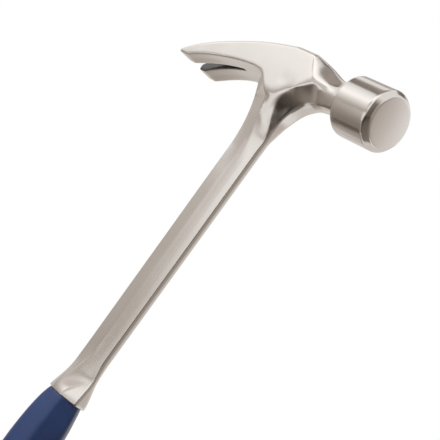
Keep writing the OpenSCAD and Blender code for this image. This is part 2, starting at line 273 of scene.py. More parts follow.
def neck_sections(x):
    row = curve_through(NECK_SHARES, clamp((x - CHEEK_FRONT) / (NECK_REACH - CHEEK_FRONT)))
    flare = curve_through(FLARE_SHARES, clamp((x - NECK_REACH) / (POLL_BACK - NECK_REACH)))
    s = mix(mix(CHEEK_SECTION, WAIST_SECTION, row), BACK_SECTION, flare).T
    foot = np.where(x > NECK_REACH, mix(NECK_FLAT_HALF, s[0], 0.5), NECK_FLAT_HALF)
    bulge = NECK_BULGE * ease((x - CHEEK_FRONT) / (NECK_REACH - CHEEK_FRONT))
    return outlines([
        (s[0], s[1]), (s[2], s[3]), (s[4], s[5]), (s[4], s[6]),
        (mix(s[4], NECK_FLAT_HALF, 0.5) + bulge, mix(s[6], s[7], 0.5) - bulge), (foot, s[7]),
    ])


def head_sections(x):
    sections = claw_sections(np.minimum(x, CHEEK_FRONT))
    neck = neck_sections(np.maximum(x, CHEEK_FRONT))
    return np.where((x > CHEEK_FRONT)[:, None, None], neck, sections)


# Shank sections, whose half outlines of X, Y run from the rear flat along one side to the front flat


def root_run(z):
    return clamp((z + ROOT_LENGTH) / (ROOT_LENGTH - NECK_UNDER))


def collar_run(z):
    return ease((-z - BARE_LENGTH + COLLAR_LENGTH) / COLLAR_LENGTH)


def collar_end(z):
    return ease((-z - BARE_LENGTH + COLLAR_END_LENGTH) / COLLAR_END_LENGTH)


def front_line(z):
    root = (NECK_FOOT - SHANK_FRONT) * np.sqrt(1 - root_run(z) ** FRONT_SWEEP)
    return NECK_FOOT - root + COLLAR_FRONT * collar_run(z)


def rear_line(z):
    taper = SHANK_TAPER * clamp((-z - ROOT_LENGTH) / (BARE_LENGTH - ROOT_LENGTH - COLLAR_LENGTH))
    root = REAR_ROOT * clamp((z + REAR_ROOT_END) / (ROOT_LENGTH - CLAW_SILL)) ** REAR_SWEEP
    collar = COLLAR_REAR * clamp((-z - BARE_LENGTH + COLLAR_REAR_LENGTH) / COLLAR_REAR_LENGTH) ** REAR_SWEEP
    return -SHANK_REAR + taper - root - collar


def ridge_line(z):
    """X and Y of the ridge, which leans back to the claw's underside above its turn."""
    x = mix(RIDGE_LINE, RIDGE_ROOT, root_run(z) ** RIDGE_SWEEP) - RIDGE_COLLAR * collar_run(z)
    x = np.where(z > -RIDGE_TURN, -(z + RIDGE_TURN) * RIDGE_SLOPE + RIDGE_ROOT, x)
    swell = clamp((z + SWELL_START) / (SWELL_START - SWELL_END)) ** 2
    return x, mix(mix(SHANK_HALF, CHEEK_HALF, swell), COLLAR_HALF, collar_run(z))


def brow_line(z):
    """X and Y of the brow, the edge between the side and the scoop or the front bevel."""
    x = mix(mix(SCOOP_BACK, BROW_LINE, ease((-z - BROW_TURN) / BROW_RUN)), BROW_COLLAR, collar_end(z))
    x = np.where(z > -BROW_TURN, SCOOP_BACK + (z + BROW_TURN) * RIDGE_SLOPE, x)
    y = mix(BROW_HALF, CHEEK_HALF, ease((z + BROW_SWELL_START) / BROW_SWELL_RUN))
    return x, mix(y, COLLAR_HALF, collar_end(z))


def shank_sections(z):
    root, end = root_run(z), collar_end(z)
    front, rear = front_line(z), rear_line(z)
    front_y = mix(mix(EDGE_HALF, ROOT_FLAT_HALF, root ** FLAT_SWEEP), COLLAR_FLAT_HALF, end)
    rear_y = mix(mix(REAR_HALF, REAR_ROOT_HALF, root), COLLAR_REAR_HALF, end)
    ridge, ridge_y = ridge_line(z)
    brow, brow_y = brow_line(z)
    ridge_y = np.where(z > -RIDGE_TURN, np.maximum(ridge_y, brow_y), ridge_y)
    # Near the head the side runs on to the front, as the block that the scoop is cut out of
    block = ease((z + BLOCK_START) / BLOCK_RUN)
    reach = (front - ridge) / np.maximum(brow - ridge, 1)
    brow_y = mix(brow_y, ridge_y + (brow_y - ridge_y) * reach, block)
    brow = mix(brow, front, block)
    crown = SIDE_CROWN * (1 - collar_run(z)) * (1 - ease((z + SIDE_CROWN_END) / SIDE_CROWN_FADE))
    side, side_y = mix(ridge, brow, SIDE_CROWN_PLACE), mix(ridge_y, brow_y, SIDE_CROWN_PLACE) + crown
    return outlines([(rear, rear_y), (ridge, ridge_y), (side, side_y), (brow, brow_y), (front, front_y)])


# Scoop: one smooth surface from the neck's lower bevel down to the shank's front bevel, laid through straight
# rules. Each rule starts at a place X, Z on the scoop's border with the half width Y there, and ends on the
# front edge at the height of the last value
SCOOP_RULES = [
    [24.0, 0.0, 12.4, -8.8], [19.1, -4.3, 12.5, -9.4], [14.6, -7.6, 12.5, -10.8], [10.6, -10.9, 12.4, -13.2],
    [7.6, -14.0, 12.2, -16.0], [6.3, -17.0, 11.4, -18.8], [6.6, -20.4, 9.9, -22.2], [7.8, -24.0, 7.7, -25.8],
    [9.2, -28.0, 5.3, -29.6], [9.8, -32.0, 3.5, -33.4], [9.8, -37.0, 2.2, -38.2], [9.8, -42.0, 2.1, -42.8],
]
# Places X, Z, Y on the neck's lower bevel that carry the surface on towards the poll
NECK_RULE = [[32.0, -2.2, 9.8], [37.0, -2.9, 9.6], [37.0, -8.6, 4.3], [37.0, -6.0, 7.6]]
# Half width of the front flat at heights up the shank
FLAT_EDGE = np.array([
    [-44.0, 1.5], [-42.0, 1.5], [-38.0, 1.65], [-34.0, 2.0], [-30.0, 2.5], [-26.0, 3.1],
    [-22.0, 3.7], [-18.0, 4.0], [-14.0, 4.1], [-11.0, 4.2], [-8.0, 4.3],
])
SCOOP_DEPTH = 0.4
SCOOP_DEPTH_END = ROOT_LENGTH * 0.7
SCOOP_DEPTH_FADE = ROOT_LENGTH * 0.3
# How freely the surface may leave its places, which keeps it smooth
SCOOP_EASE = 4.0
SCOOP_X = (2.0, NECK_REACH + 1)
SCOOP_Z = (-40.0, 2.0)
RULE_SHARES = (0, 0.25, 0.5, 0.75, 1)


def spline_height(places, x, z):
    """Smooth surface close to places [X, Z, height], at the points x, z."""
    places = np.array(places, float)
    n = len(places)

    def bend(dx, dz):
        r = dx * dx + dz * dz
        return r * np.log(np.maximum(r, 1e-12))

    system = np.zeros((n + 3, n + 3))
    system[:n, :n] = bend(places[:, None, 0] - places[None, :, 0], places[:, None, 1] - places[None, :, 1])
    system[:n, :n] += np.eye(n) * SCOOP_EASE
    system[:n, n:] = np.column_stack([np.ones(n), places[:, :2]])
    system[n:, :n] = system[:n, n:].T
    weights = np.linalg.solve(system, np.concatenate([places[:, 2], np.zeros(3)]))
    height = weights[n] + weights[n + 1] * x + weights[n + 2] * z
    for (px, pz, _), weight in zip(places, weights):
        height = height + weight * bend(x - px, z - pz)
    return height


def scoop_places():
    """Places X, Z, Y on the rules, which sink by the scoop's depth between their ends."""
    places = list(NECK_RULE)
    for from_x, from_z, from_y, foot in SCOOP_RULES:
        start = np.array([from_x, from_z, from_y])
        end = np.array([float(front_line(foot)), foot, np.interp(foot, FLAT_EDGE[:, 0], FLAT_EDGE[:, 1])])
        depth = SCOOP_DEPTH * ease((foot + SCOOP_DEPTH_END) / SCOOP_DEPTH_FADE)
        for share in RULE_SHARES:
            hollow = np.array([0, 0, depth * 4 * share * (1 - share)])
            places.append(list(mix(start, end, share) - hollow))
    return places


# Distance fields of the head, poll and shank over one grid of points, negative inside and held at FAR where a
# part doesn't reach

GRID = 0.5
GRID_SLACK = 4.0
FAR = 9.0
LOW = np.array([-CLAW_REACH - GRID_SLACK, -GRID / 2, -BARE_LENGTH - GRID_SLACK])
HIGH = np.array([FACE_TOP + GRID_SLACK, POLL_RADIUS + GRID_SLACK, POLL_RADIUS + GRID_SLACK])
COUNT = np.ceil((HIGH - LOW) / GRID).astype(int)
AXES = [LOW[k] + GRID * np.arange(COUNT[k]) for k in range(3)]
# Stretches of Z, Z and X that the blocks of the head, the poll and the shank cover
HEAD_HEIGHTS = (-27.0, 22.0)
POLL_HEIGHTS = (-27.0, 27.0)
SHANK_DEPTHS = (-26.0, 38.0)
FILLET = 2.0
# How far the blocks of the head and the poll reach past the line between them, and how far the head's
# sections and the shank's block run on past their ends
OVERLAP = 3.0
RUN_ON = 2.0
SHANK_TOP = -CLAW_SILL / 2
POLL_CLEARANCE = 8.0

# How far edges are softened, with weights that reach SOFT_REACH times as far: all edges, then the neck's, the
# ridge's and those of the scoop's brow, each with the stretches where it holds as start, rise, end and fall
EDGE_ROUND = 0.45
SOFT_REACH = 2.5
NECK_ROUND = 1.5
NECK_STRETCH = (CHEEK_FRONT - 2, 8, POLL_BACK - 2, 4)
RIDGE_ROUND = 1.3
RIDGE_STRETCH = (-6, 3, 8, 3)
RIDGE_TOP = ROOT_LENGTH * 0.7
RIDGE_FADE = 10
BROW_ROUND = 2.4
BROW_STRETCH = (1, 4, CHEEK_FRONT + 2, 6)
BROW_HEIGHTS = (-34, 8, 8, 6)
BROW_SIDE = 6
BROW_SIDE_FADE = 3


def outline_distance(u, v, half):
    """Signed distance of points to the outline whose half, at v over 0, is given in order."""
    outline = np.concatenate([half, half[::-1] * [1, -1]])
    best = np.full(u.shape, np.inf)
    inside = np.zeros(u.shape, bool)
    for a, b in zip(outline, np.roll(outline, -1, axis=0)):
        edge = b - a
        length = edge @ edge
        if length < 1e-9:
            continue
        along = np.clip(((u - a[0]) * edge[0] + (v - a[1]) * edge[1]) / length, 0, 1)
        best = np.minimum(best, (u - a[0] - along * edge[0]) ** 2 + (v - a[1] - along * edge[1]) ** 2)
        if a[1] != b[1]:
            crosses = (a[1] > v) != (b[1] > v)
            inside ^= crosses & (u < a[0] + edge[0] * (v - a[1]) / edge[1])
    return np.where(inside, -1, 1) * np.sqrt(best)


def span(axis, low=-np.inf, high=np.inf):
    """Grid numbers along an axis between two places."""
    return np.nonzero((AXES[axis] >= low) & (AXES[axis] <= high))[0]


def shaped(i, j, k):
    """Grid places of a block, in a shape that spreads over it."""
    return AXES[0][i][:, None, None], AXES[1][j][None, :, None], AXES[2][k][None, None, :]


def placed(block, i, j, k):
    """Field that holds a block's values and is far outside elsewhere."""
    field = np.full(COUNT, FAR)
    field[np.ix_(i, j, k)] = block
    return field


def join(a, b, radius):
    """Union with a fillet of about the given radius."""
    h = np.maximum(radius - np.abs(a - b), 0) / radius
    return np.minimum(a, b) - h * h * radius / 4


def slot_gap(x, y, z):
    """How far a point lies outside the nail slot, negative in it."""
    close = (z + TIP_FLOOR) * SLOT_LEAN
    run = clamp((-SLOT_REACH - close - x) / (CLAW_REACH - SLOT_REACH - close))
    wall = SLOT_POINT + (np.maximum(SLOT_POINT, SLOT_HALF - close) - SLOT_POINT) * run
    return np.maximum(np.abs(y) - wall, x + SLOT_REACH + close)


def head_field():
    i, j, k = span(0, high=POLL_BACK + OVERLAP), span(1), span(2, *HEAD_HEIGHTS)
    y, z = np.meshgrid(AXES[1][j], AXES[2][k], indexing="ij")
    sections = head_sections(np.clip(AXES[0][i], -CLAW_REACH, POLL_BACK + RUN_ON))
    block = np.stack([outline_distance(z, y, s[:, ::-1]) for s in sections])
    x, y, z = shaped(i, j, k)
    block = np.maximum(block, -CLAW_REACH - x)
    block = np.maximum(block, -TIP_FLOOR - z)
    block = np.maximum(block, -slot_gap(x, y, z))
    return placed(block, i, j, k)


def poll_field():
    i, j, k = span(0, POLL_BACK - OVERLAP), span(1), span(2, *POLL_HEIGHTS)
    rim = POLL_RADIUS - FACE_CHAMFER
    crown = FACE_TOP - FACE_REACH
    bend = (rim * rim + crown * crown) / (2 * crown)
    arc = [math.asin(rim / bend) * n / FACE_ARC_STEPS for n in range(FACE_ARC_STEPS, -1, -1)]
    profile = [
        [POLL_BACK, 0], [POLL_BACK, POLL_RADIUS - POLL_BACK_CHAMFER],
        [POLL_BACK + POLL_BACK_CHAMFER, POLL_RADIUS], [FACE_REACH - FACE_CHAMFER_LENGTH, POLL_RADIUS],
    ]
    profile += [[FACE_TOP - bend * (1 - math.cos(a)), bend * math.sin(a)] for a in arc]
    x, y, z = shaped(i, j, k)
    x, radius = np.broadcast_arrays(x, np.sqrt(y * y + z * z))
    return placed(outline_distance(x, radius, np.array(profile)), i, j, k)


def shank_field():
    i, j, k = span(0, *SHANK_DEPTHS), span(1), span(2, high=SHANK_TOP + RUN_ON)
    x, y = np.meshgrid(AXES[0][i], AXES[1][j], indexing="ij")
    sections = shank_sections(np.clip(AXES[2][k], -BARE_LENGTH, SHANK_TOP))
    block = np.stack([outline_distance(x, y, s) for s in sections], axis=2)
    block = np.maximum(block, shaped(i, j, k)[2] - SHANK_TOP)
    return placed(block, i, j, k)


def scoop_field(x, y, z):
    """Distance outwards from the scoop's surface, and far inside away from the scoop."""
    height = spline_height(scoop_places(), x[:, 0], z[:, 0])
    slope = np.gradient(height, GRID)
    scoop = (y - height[:, None, :]) / np.sqrt(1 + slope[0] ** 2 + slope[1] ** 2)[:, None, :]
    near = (x > SCOOP_X[0]) & (x < SCOOP_X[1]) & (z > SCOOP_Z[0]) & (z < SCOOP_Z[1])
    return np.where(near, scoop, -FAR)


def softened(field, sigma):
    """Field smoothed over about sigma millimetres, which rounds its edges; Y = 0 is a mirror."""
    reach = int(math.ceil(sigma / GRID * SOFT_REACH))
    weights = [math.exp(-0.5 * (n * GRID / sigma) ** 2) for n in range(-reach, reach + 1)]
    total = sum(weights)
    for axis in range(3):
        padding = [(0, 0)] * 3
        padding[axis] = (reach, reach)
        padded = np.pad(field, padding, mode="edge")
        if axis == 1:
            padded[:, :reach] = padded[:, 2 * reach + 1:reach + 1:-1]
        out = np.zeros_like(field)
        for n, weight in enumerate(weights):
            part = [slice(None)] * 3
            part[axis] = slice(n, n + field.shape[axis])
            out += padded[tuple(part)] * (weight / total)
        field = out
    return field


def forging_field():
    x, y, z = AXES[0][:, None, None], AXES[1][None, :, None], AXES[2][None, None, :]
    body = join(head_field(), shank_field(), FILLET)
    body = np.maximum(body, scoop_field(x, y, z))
    # The fillets may not stand past the flat cheeks and the claw's sides
    side = np.where(x < POLL_BACK - POLL_CLEARANCE, claw_side(np.minimum(x, 0)), np.inf)
    body = np.maximum(body, y - side)
    body = np.clip(join(body, poll_field(), FILLET), -FAR, FAR)
    neck = stretch(x, *NECK_STRETCH)
    ridge = stretch(x, *RIDGE_STRETCH) * ease((-RIDGE_TOP - z) / RIDGE_FADE) * (1 - collar_run(z))
    brow = stretch(x, *BROW_STRETCH) * stretch(z, *BROW_HEIGHTS) * ease((y - BROW_SIDE) / BROW_SIDE_FADE)
    soft = mix(softened(body, EDGE_ROUND), softened(body, NECK_ROUND), neck)
    soft = mix(soft, softened(body, RIDGE_ROUND), ridge)
    soft = mix(soft, softened(body, BROW_ROUND), brow)
    return np.maximum(soft, -BARE_LENGTH - z)


# Mesh of a field: one vertex for each cell that the surface crosses, then drawn onto the surface

CORNERS = [(a, b, c) for a in (0, 1) for b in (0, 1) for c in (0, 1)]
DRAWS = 3
LONGEST_DRAW = 0.5
# Points closer to the middle plane than this are in its own cells and move onto it
MIDDLE_BAND = GRID * 0.49


def field_at(field, points):
    """Value and slope of the field at points given in cells, between the grid's values."""
    base = np.clip(np.floor(points).astype(int), 0, np.array(field.shape) - 2)
    t = points - base
    value = np.zeros(len(points))
    slope = np.zeros((len(points), 3))
    for corner in CORNERS:
        at = field[tuple((base + corner).T)]
        w = [t[:, k] if corner[k] else 1 - t[:, k] for k in range(3)]
        sign = [1 if corner[k] else -1 for k in range(3)]
        value += at * w[0] * w[1] * w[2]
        slope[:, 0] += at * sign[0] * w[1] * w[2]
        slope[:, 1] += at * sign[1] * w[0] * w[2]
        slope[:, 2] += at * sign[2] * w[0] * w[1]
    return value, slope


def cell_points(field, cells):
    """For each cell, the mean of the places where the surface cuts its edges."""
    total = np.zeros((len(cells), 3))
    hits = np.zeros(len(cells))
    for corner in CORNERS:
        for k in range(3):
            if corner[k]:
                continue
            other = list(corner)
            other[k] = 1
            start = field[tuple((cells + corner).T)]
            end = field[tuple((cells + other).T)]
            cut = (start < 0) != (end < 0)
            place = np.tile(np.array(corner, float), (len(cells), 1))
            place[:, k] = np.where(cut, start / np.where(cut, start - end, 1), 0)
            total += place * cut[:, None]
            hits += cut
    return cells + total / hits[:, None]


def cell_faces(inside, number):
    """One four-sided face round each grid edge that crosses the surface, through its four cells' points."""
    faces = []
    for k in range(3):
        p, q = (k + 1) % 3, (k + 2) % 3
        low = [slice(None)] * 3
        high = [slice(None)] * 3
        low[k], high[k] = slice(None, -1), slice(1, None)
        edges = np.argwhere(inside[tuple(low)] != inside[tuple(high)])
        across = edges[:, [p, q]]
        edges = edges[((across > 0) & (across < [number.shape[p], number.shape[q]])).all(1)]
        quad = []
        for dp, dq in ((-1, -1), (0, -1), (0, 0), (-1, 0)):
            cell = edges.copy()
            cell[:, p] += dp
            cell[:, q] += dq
            quad.append(number[tuple(cell.T)])
        quad = np.array(quad).T
        leaves = inside[tuple(edges.T)]
        faces.append(np.where(leaves[:, None], quad, quad[:, ::-1]))
    return np.concatenate(faces)


def surface(field):
    """Vertices in cells and four-sided faces of the surface where the field is 0."""
    inside = field < 0
    shape = np.array(field.shape) - 1
    crossed = np.zeros(shape, bool)
    first = inside[:-1, :-1, :-1]
    for a, b, c in CORNERS[1:]:
        crossed |= inside[a:a + shape[0], b:b + shape[1], c:c + shape[2]] != first
    cells = np.argwhere(crossed)
    number = np.full(shape, -1)
    number[tuple(cells.T)] = np.arange(len(cells))
    return cell_points(field, cells), cell_faces(inside, number)


def steel_mesh():
    """Places in millimetres and faces of the whole forging above the grip, from its +Y half."""
    field = forging_field()
    points, faces = surface(field)
    for _ in range(DRAWS):
        value, slope = field_at(field, points)
        step = slope * (value / np.maximum((slope ** 2).sum(1), 1e-6))[:, None]
        size = np.maximum(np.linalg.norm(step, axis=1), 1e-9)
        points = points - step * np.minimum(1, LONGEST_DRAW / size)[:, None]
    places = LOW + points * GRID
    middle = places[:, 1] < MIDDLE_BAND
    places[middle, 1] = 0
    other = np.where(middle, np.arange(len(places)), np.cumsum(~middle) - 1 + len(places))
    twins = places[~middle] * [1, -1, 1]
    places = np.concatenate([places, twins])
    faces = np.concatenate([faces, other[faces][:, ::-1]])
    return places, faces


# Grip, whose front, rear and side go through four stations: 0 the joint with the steel, 1 the swell below it,
# 2 the waist and 3 the butt

GRIP_LIP = 0.3
SWELL_REACH = 17.0
SWELL_SIDE = 12.0
WAIST_REACH = 15.5
WAIST_SIDE = 12.0
BUTT_DEPTH = 43.0
BUTT_FRONT_SHARE = 0.47
BUTT_SIDE = 14.0
FRONTS = [SHANK_FRONT + COLLAR_FRONT + GRIP_LIP, SWELL_REACH, WAIST_REACH, BUTT_DEPTH * BUTT_FRONT_SHARE]
REARS = [SHANK_REAR + COLLAR_REAR + GRIP_LIP, SWELL_REACH, WAIST_REACH, BUTT_DEPTH * (1 - BUTT_FRONT_SHARE)]
SIDES = [COLLAR_HALF + GRIP_LIP, SWELL_SIDE, WAIST_SIDE, BUTT_SIDE]
# Share of the way down, then the stations that the front, the rear and the side have come to there
GRIP_SHARES = [
    [0.00, 0.00, 0.00, 0.00],
    [0.03, 0.32, 0.52, 0.30],
    [0.08, 0.75, 0.85, 0.70],
    [0.15, 1.00, 1.00, 0.95],
    [0.28, 1.20, 1.10, 1.10],
    [0.50, 2.00, 2.00, 2.00],
    [0.72, 1.50, 1.60, 2.20],
    [0.88, 2.40, 2.30, 2.70],
    [0.96, 3.00, 2.95, 3.00],
    [1.00, 3.00, 3.00, 3.00],
]
GRIP_TOP = AXIS_HEIGHT - BARE_LENGTH
BUTT_ROUND = 4.0
BEVEL = math.radians(40)
# At the joint and below it: how sharp the corners are, and how far out the bevels stand
CORNER_POWERS = (14, 5)
BEVEL_SHARES = (0.84, 0.9)
SOFT_RUN = 0.3

GROOVE_COUNT = 11
GROOVE_PITCH = 8.0
GROOVE_DEPTH = 0.9
GROOVE_START = 34.0
GROOVE_HALF = GROOVE_PITCH * 0.28

GRIP_TURNS = 144
TOP_RINGS = 70
GROOVE_RINGS = 16
BUTT_RINGS = 26
BUTT_ROUND_STEP = 9
# Depth under the grip's top and how far the ring is drawn in there, which rounds the rim
RIM = [(0.0, 0.9), (0.0, 0.25), (0.1, 0.08), (0.3, 0.0)]
RIM_DEPTH = 1.2
# Size of the ring inside the mouth and of those on the flat butt, beside the mouth's and the butt's own rings
MOUTH_SHARE = 0.72
BUTT_SHARES = (0.85, 0.5, 0.088)


def grip_radii(height, angles):
    """Radii of the grip's outline at a height over the butt."""
    down = min(1, max(0, (GRIP_TOP - height) / GRIP_TOP))
    stations = curve_through(GRIP_SHARES, np.array([down]))[0]
    front, rear, side = (
        float(np.interp(at, range(len(sizes)), sizes)) for at, sizes in zip(stations, (FRONTS, REARS, SIDES))
    )
    soft = float(ease(down / SOFT_RUN))
    power, bevel = mix(*CORNER_POWERS, soft), mix(*BEVEL_SHARES, soft)
    fore = bevel * math.hypot(front * math.cos(BEVEL), side * math.sin(BEVEL))
    back = bevel * math.hypot(rear * math.cos(BEVEL), side * math.sin(BEVEL))
    flats = [
        (0, front), (math.pi, rear), (math.pi / 2, side), (-math.pi / 2, side),
        (BEVEL, fore), (-BEVEL, fore), (math.pi - BEVEL, back), (math.pi + BEVEL, back),
    ]
    shares = np.array([np.maximum(0, np.cos(angles - a)) / d for a, d in flats])
    worst = shares.max(0)
    radii = 1 / (worst * ((shares / worst) ** power).sum(0) ** (1 / power))
    n = (height - GROOVE_START) / GROOVE_PITCH
    if 0 <= round(n) < GROOVE_COUNT:
        off = abs(n - round(n)) * GROOVE_PITCH
        radii = radii - GROOVE_DEPTH * float(ease(1 - off / GROOVE_HALF))
    if height < BUTT_ROUND:
        radii = radii - (BUTT_ROUND - math.sqrt(BUTT_ROUND ** 2 - (BUTT_ROUND - height) ** 2))
    return radii


def grip_mesh():
    """Places in millimetres and faces of the grip: rings from its mouth down to the middle of its butt."""
    angles = -np.arange(GRIP_TURNS) * 2 * math.pi / GRIP_TURNS
    grooves_top = GROOVE_START + GROOVE_COUNT * GROOVE_PITCH
    grooves_foot = GROOVE_START - GROOVE_PITCH / 2
    heights = list(np.linspace(GRIP_TOP - RIM_DEPTH, grooves_top, TOP_RINGS))
    heights += list(np.linspace(grooves_top, grooves_foot, GROOVE_RINGS * GROOVE_COUNT)[1:])
    heights += list(np.linspace(grooves_foot, BUTT_ROUND, BUTT_RINGS)[1:])
    turns = range(BUTT_ROUND_STEP, 91, BUTT_ROUND_STEP)
    heights += [BUTT_ROUND * (1 - math.sin(math.radians(turn))) for turn in turns]
    rings = []
    for height, tuck in [(GRIP_TOP - depth, tuck) for depth, tuck in RIM] + [(h, 0) for h in heights]:
        r = grip_radii(height, angles) - tuck
        level = np.full(GRIP_TURNS, height - AXIS_HEIGHT)
        rings.append(np.stack([r * np.cos(angles), r * np.sin(angles), level], 1))
    mouth, butt = rings[0] * [MOUTH_SHARE, MOUTH_SHARE, 1], rings[-1]
    rings = [mouth] + rings + [butt * [share, share, 1] for share in BUTT_SHARES]
    n = GRIP_TURNS
    faces = []
    for i in range(len(rings) - 1):
        a = i * n + np.arange(n)
        b = i * n + (np.arange(n) + 1) % n
        faces += np.stack([a, b, b + n, a + n], 1).tolist()
    faces.append(list(range(n))[::-1])
    faces.append([(len(rings) - 1) * n + k for k in range(n)])
    return np.concatenate(rings), faces


# Materials

# Sockets of the colour mix node, by number because their names repeat in it
MIX_FACTOR, MIX_A, MIX_B, MIX_COLOUR = 0, 6, 7, 2


class Nodes:
    """Adds and joins the nodes of one material or world."""

    def __init__(self, owner, output="ShaderNodeOutputMaterial"):
        owner.use_nodes = True
        self.owner = owner
        self.tree = owner.node_tree
        self.tree.nodes.clear()
        self.out = self.add(output)

    def add(self, kind, sockets=None, **settings):
        node = self.tree.nodes.new(kind)
        for key, value in settings.items():
            setattr(node, key, value)
        for key, value in (sockets or {}).items():
            node.inputs[key].default_value = value
        return node

    def join(self, a, output, b, socket):
        self.tree.links.new(a.outputs[output], b.inputs[socket])

    def ramp(self, source, output, stops):
        """Ramp between colours, or between grey levels given as one number each."""
        ramp = self.add("ShaderNodeValToRGB")
        for element, (place, colour) in zip(ramp.color_ramp.elements, stops):
            element.position = place
            element.color = (*colour, 1) if isinstance(colour, tuple) else (colour, colour, colour, 1)
        self.join(source, output, ramp, "Fac")
        return ramp

    def noise(self, vector, output, scale, detail, roughness):
        grain = self.add("ShaderNodeTexNoise", {"Scale": scale, "Detail": detail, "Roughness": roughness})
        self.join(vector, output, grain, "Vector")
        return grain

    def background_rays(self):
        """1 for rays from the camera, in reflections and through glass, 0 for the light on surfaces."""
        path = self.add("ShaderNodeLightPath")
        seen = self.add("ShaderNodeMath", operation="MAXIMUM")
        self.join(path, "Is Camera Ray", seen, 0)
        self.join(path, "Is Glossy Ray", seen, 1)
        rays = self.add("ShaderNodeMath", operation="MAXIMUM")
        self.join(seen, 0, rays, 0)
        self.join(path, "Is Transmission Ray", rays, 1)
        return rays


def material_nodes(name):
    return Nodes(bpy.data.materials.new(name))


def steel_material():
    """Satin steel with a fine grain across the handle, and painted shade on the walls of the nail slot."""
    m = material_nodes("satin_steel")
    shader = m.add("ShaderNodeBsdfPrincipled", {"Metallic": 1.0})
    coordinates = m.add("ShaderNodeTexCoord")
    squeeze = m.add("ShaderNodeMapping", {"Scale": (260, 260, 2600)})
    m.join(coordinates, "Object", squeeze, "Vector")
    grain = m.noise(squeeze, "Vector", scale=1.0, detail=3.0, roughness=0.6)
    cloud = m.noise(coordinates, "Object", scale=45.0, detail=4.0, roughness=0.55)
    tint = m.ramp(cloud, "Fac", [(0.3, (0.682, 0.640, 0.604)), (0.7, (0.714, 0.672, 0.636))])
    # Painted shade: the nail slot's walls are mixed towards a dark grey that stands in for the shade inside
    # that recess
    slot = m.add("ShaderNodeAttribute", attribute_name="slot_shade_paint")
    shade = m.add("ShaderNodeMix", {MIX_B: (0.16, 0.155, 0.15, 1)}, data_type="RGBA")
    m.join(slot, "Fac", shade, MIX_FACTOR)
    m.join(tint, "Color", shade, MIX_A)
    m.join(shade, MIX_COLOUR, shader, "Base Color")
    rough = m.ramp(grain, "Fac", [(0.2, 0.16), (0.8, 0.21)])
    m.join(rough, "Color", shader, "Roughness")
    bump = m.add("ShaderNodeBump", {"Strength": 0.02, "Distance": 0.00012})
    m.join(grain, "Fac", bump, "Height")
    m.join(bump, "Normal", shader, "Normal")
    m.join(shader, "BSDF", m.out, "Surface")
    return m.owner


def grip_material():
    """Blue vinyl with a fine moulded grain."""
    m = material_nodes("blue_vinyl")
    shader = m.add("ShaderNodeBsdfPrincipled", {"Specular IOR Level": 0.6, "IOR": 1.5})
    coordinates = m.add("ShaderNodeTexCoord")
    grain = m.noise(coordinates, "Object", scale=900.0, detail=3.0, roughness=0.6)
    cloud = m.noise(coordinates, "Object", scale=60.0, detail=3.0, roughness=0.5)
    tint = m.ramp(cloud, "Fac", [(0.3, (0.007, 0.032, 0.128)), (0.7, (0.010, 0.040, 0.150))])
    m.join(tint, "Color", shader, "Base Color")
    rough = m.ramp(grain, "Fac", [(0.3, 0.34), (0.7, 0.42)])
    m.join(rough, "Color", shader, "Roughness")
    bump = m.add("ShaderNodeBump", {"Strength": 0.25, "Distance": 0.0002})
    m.join(grain, "Fac", bump, "Height")
    m.join(bump, "Normal", shader, "Normal")
    m.join(shader, "BSDF", m.out, "Surface")
    return m.owner


# Pieces

# Reach of the painted shade on the nail slot's walls, and how far it fades out past them
SLOT_SHADE_EDGE = 0.2
SLOT_SHADE_FADE = 0.5


def make_mesh(name, places, faces, material):
    """Smooth piece from places in millimetres and faces of any number of corners."""
    mesh = bpy.data.meshes.new(name)
    mesh.vertices.add(len(places))
    metres = (np.asarray(places) + [0, 0, AXIS_HEIGHT]) * MM
    mesh.vertices.foreach_set("co", metres.astype(np.float32).ravel())
    sizes = np.array([len(f) for f in faces])
    mesh.loops.add(int(sizes.sum()))
    mesh.loops.foreach_set("vertex_index", np.concatenate([np.asarray(f) for f in faces]).astype(np.int32))
    mesh.polygons.add(len(faces))
    mesh.polygons.foreach_set("loop_start", np.concatenate([[0], np.cumsum(sizes)[:-1]]).astype(np.int32))
    mesh.update(calc_edges=True)
    mesh.validate()
    mesh.shade_smooth()
    mesh.materials.append(material)
    piece = bpy.data.objects.new(name, mesh)
    bpy.context.scene.collection.objects.link(piece)
    return piece


def point_values(piece, name, values):
    """Gives every vertex of a piece a number, which its material reads by the name."""
    attribute = piece.data.attributes.new(name, "FLOAT", "POINT")
    attribute.data.foreach_set("value", np.array(values, np.float32))


steel = steel_material()
vinyl = grip_material()
places, faces = steel_mesh()
forging = make_mesh("forging_surface", places, faces, steel)
# Painted shade in the nail slot: 1 on the slot's walls, fading to 0 away from them
slot_shade = 1 - ease((slot_gap(*places.T) - SLOT_SHADE_EDGE) / SLOT_SHADE_FADE)
point_values(forging, "slot_shade_paint", slot_shade)
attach(forging, "root")
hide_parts("steel_forging")
places, faces = grip_mesh()
sleeve = make_mesh("grip_surface", places, faces, vinyl)
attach(sleeve, "root")
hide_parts("grip")
for name, material in (("steel_forging", steel), ("grip", vinyl)):
    mesh = frame["nodes"][name].data
    for k in range(len(mesh.materials)):
        mesh.materials[k] = material

# Floor

FLOOR_HALF = 4.0
FLOOR_GREY = 0.88
FLOOR_FADE = {"From Min": 0.15, "From Max": 0.9, "To Min": 0.68, "To Max": 1.0}


